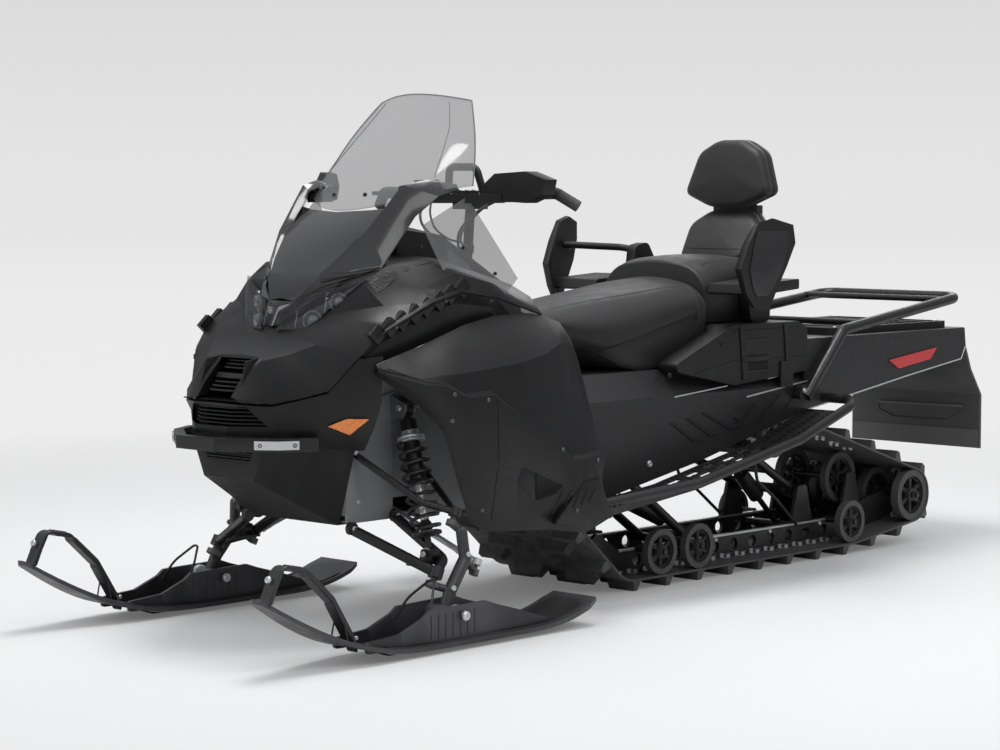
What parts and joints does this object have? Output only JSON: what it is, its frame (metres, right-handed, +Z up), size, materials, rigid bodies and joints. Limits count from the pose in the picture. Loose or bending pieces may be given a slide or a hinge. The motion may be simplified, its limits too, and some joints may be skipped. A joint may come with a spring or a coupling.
{
  "type": "two-seat utility snowmobile",
  "caption": "Two-seat utility snowmobile with steerable skis, tall windshield, long rubber track, passenger backrest and rear cargo rack.",
  "frame": {"origin": "on the ground below the middle of the whole length and width", "axes": "+X to the nose, +Y to the machine's left, +Z up"},
  "size_m": [3.42, 1.108, 1.426],
  "materials": {
    "painted_black": "satin black powder coat",
    "matte_body": "matte moulded body panel",
    "dark_plastic": "coarse black plastic",
    "gloss_body": "gloss black",
    "vinyl": "soft black seat vinyl",
    "track_rubber": "moulded track rubber",
    "wheel_rubber": "rubber rim and nylon web",
    "grip_rubber": "ribbed grip",
    "flap_rubber": "flexible flap",
    "steel_grey": "satin grey steel",
    "dark_forging": "dark forged steel",
    "alloy": "satin aluminium",
    "dark_alloy": "black coated aluminium",
    "cast": "plain engine block",
    "ski_plastic": "dark grey ski plastic",
    "smoked_clear": "smoked clear polycarbonate",
    "lamp_clear": "clear lamp lens",
    "reflector": "prismatic reflector"
  },
  "bodies": {
    "chassis": {"tunnel_top": "dark_alloy", "tunnel_sides": "dark_alloy", "bulkhead": "steel_grey", "engine": "cast", "belly_pan": "dark_plastic", "hood": "matte_body", "nose_cowl": "matte_body", "side_panels": "matte_body", "front_bumper": "painted_black", "headlamps": "lamp_clear", "visor": "gloss_body", "windshield": "smoked_clear", "side_deflectors": "smoked_clear", "mirrors": "matte_body", "console": "dark_plastic", "driver_seat": "vinyl", "passenger_seat": "vinyl", "backrest": "vinyl", "storage_box": "dark_plastic", "hand_guards": "dark_plastic", "running_boards": "dark_alloy", "rack": "painted_black", "cargo_deck": "dark_plastic", "snow_flap": "flap_rubber", "hitch": "painted_black", "slide_rails": "dark_alloy", "skid_frame": "painted_black", "skid_shocks": "dark_alloy", "bogie_wheels": "wheel_rubber", "rear_idlers": "wheel_rubber", "drive_axle": "dark_plastic", "track": "track_rubber", "lower_arms": "painted_black", "upper_arms": "painted_black", "front_shocks": "dark_alloy", "front_springs": "painted_black", "side_reflectors": "reflector"},
    "handlebar_set": {"steering_post": "painted_black", "handlebar": "painted_black", "grips": "grip_rubber", "controls": "dark_plastic"},
    "ski_assembly_left": {"spindle_left": "dark_forging", "ski_left": "ski_plastic"},
    "tie_rod_left": {"tie_rod_left": "alloy"},
    "ski_assembly_right": {"spindle_right": "dark_forging", "ski_right": "ski_plastic"},
    "tie_rod_right": {"tie_rod_right": "alloy"}
  },
  "joints": [
    {"name": "steer", "type": "hinge", "parent": "chassis", "child": "handlebar_set", "pos_m": [0.521, 0, 0.812], "axis": [-0.0841, 0, 0.9965], "range_deg": [-25, 25]},
    {"name": "ski_left_steer", "type": "hinge", "parent": "chassis", "child": "ski_assembly_left", "pos_m": [1.065, 0.43, 0.182], "axis": [-0.4722, -0.059, 0.8795], "range_deg": [-25, 25]},
    {"name": "tie_rod_left_pivot", "type": "hinge", "parent": "ski_assembly_left", "child": "tie_rod_left", "pos_m": [0.918, 0.434, 0.195], "axis": [-0.4722, -0.059, 0.8795], "range_deg": [-25, 25]},
    {"name": "ski_right_steer", "type": "hinge", "parent": "chassis", "child": "ski_assembly_right", "pos_m": [1.065, -0.43, 0.182], "axis": [-0.4722, 0.059, 0.8795], "range_deg": [-25, 25]},
    {"name": "tie_rod_right_pivot", "type": "hinge", "parent": "ski_assembly_right", "child": "tie_rod_right", "pos_m": [0.918, -0.434, 0.195], "axis": [-0.4722, 0.059, 0.8795], "range_deg": [-25, 25]}
  ],
  "couplings": [
    {"joint": "ski_left_steer", "follows": "steer", "ratio": 1},
    {"joint": "tie_rod_left_pivot", "follows": "steer", "ratio": -1},
    {"joint": "ski_right_steer", "follows": "steer", "ratio": 1},
    {"joint": "tie_rod_right_pivot", "follows": "steer", "ratio": -1}
  ]
}
